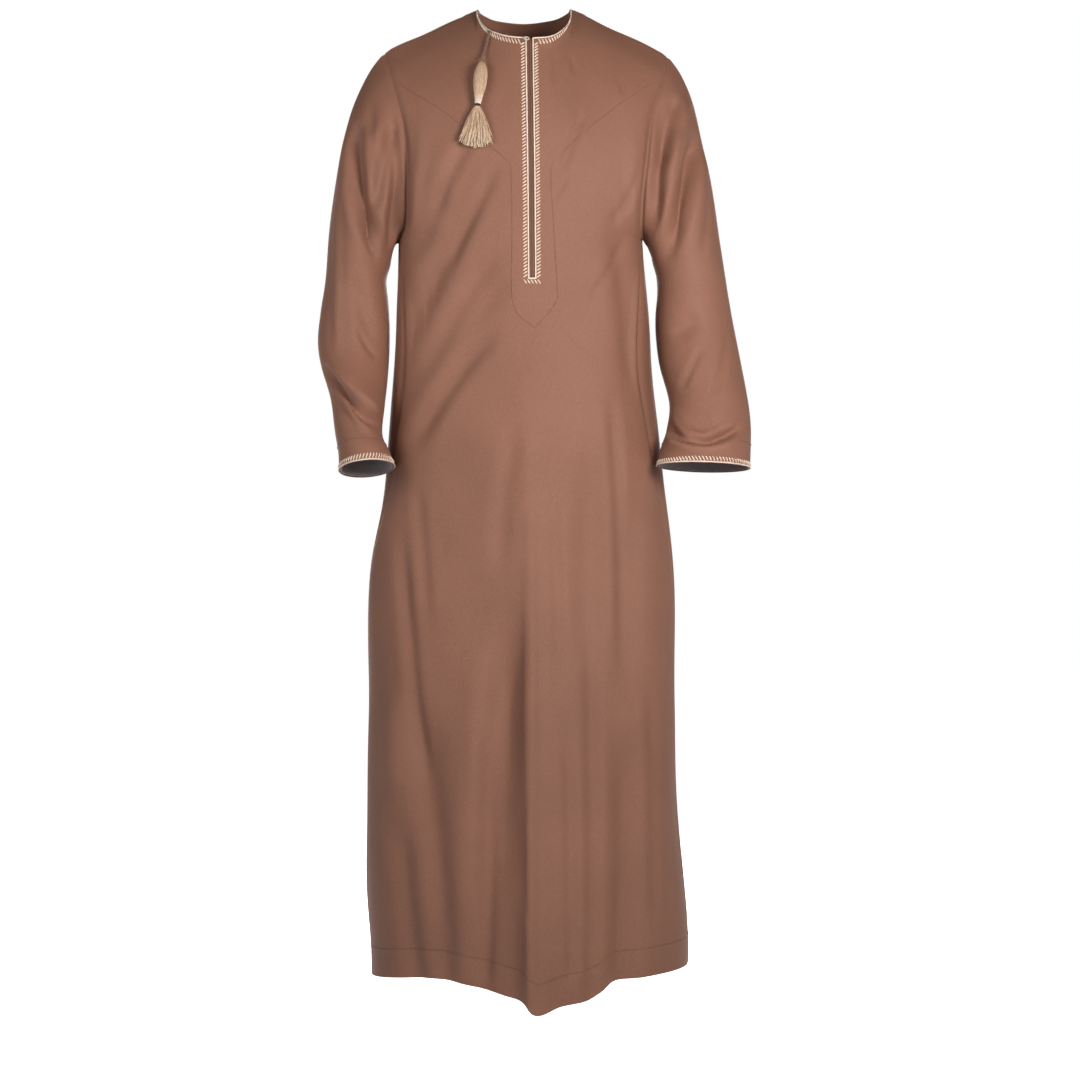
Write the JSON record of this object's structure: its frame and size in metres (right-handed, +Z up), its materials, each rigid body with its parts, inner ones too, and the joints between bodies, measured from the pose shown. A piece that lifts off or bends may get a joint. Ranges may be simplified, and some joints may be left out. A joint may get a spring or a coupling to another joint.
{
  "type": "thobe",
  "caption": "Ankle-length collarless robe in worn form, with a round piped neck, a half placket, set-in sleeves and a tassel hanging at the neck.",
  "frame": {"origin": "middle of the line between the two points where the shoulder seams meet the neck, where the robe is worn on the shoulders", "axes": "+Z up along the robe's length, -Y out of the front, +X to the wearer's left"},
  "size_m": [0.6394, 0.4046, 1.4645],
  "materials": {
    "suiting": "smooth mid-brown suiting with a soft sheen",
    "placket": "smooth brown suiting, matte",
    "piping": "cream corded thread, satin",
    "cuff_facing": "grey lining with fine dots, matte",
    "hook": "pale wound thread, satin",
    "tassel_cord": "twisted brown cord, matte",
    "tassel_head": "wound tan thread with a silky sheen",
    "tassel_ring": "dark thread binding, matte",
    "tassel_fringe": "loose tan silk threads, satin"
  },
  "bodies": {
    "root": {"front_chest": "suiting", "front_waist": "suiting", "front_skirt": "suiting", "back_chest": "suiting", "back_waist": "suiting", "back_skirt": "suiting", "sleeve_right_upper": "suiting", "sleeve_right_lower": "suiting", "sleeve_left_upper": "suiting", "sleeve_left_lower": "suiting", "placket_right": "placket", "placket_left": "placket", "neck_tab": "placket", "neck_piping_front": "piping", "neck_piping_back": "piping", "cuff_piping_right": "piping", "cuff_piping_left": "piping", "cuff_facing_right": "cuff_facing", "cuff_facing_left": "cuff_facing", "neck_hook": "hook", "tassel_cord": "tassel_cord", "tassel_head": "tassel_head", "tassel_ring": "tassel_ring", "tassel_skirt": "tassel_fringe"}
  },
  "joints": []
}
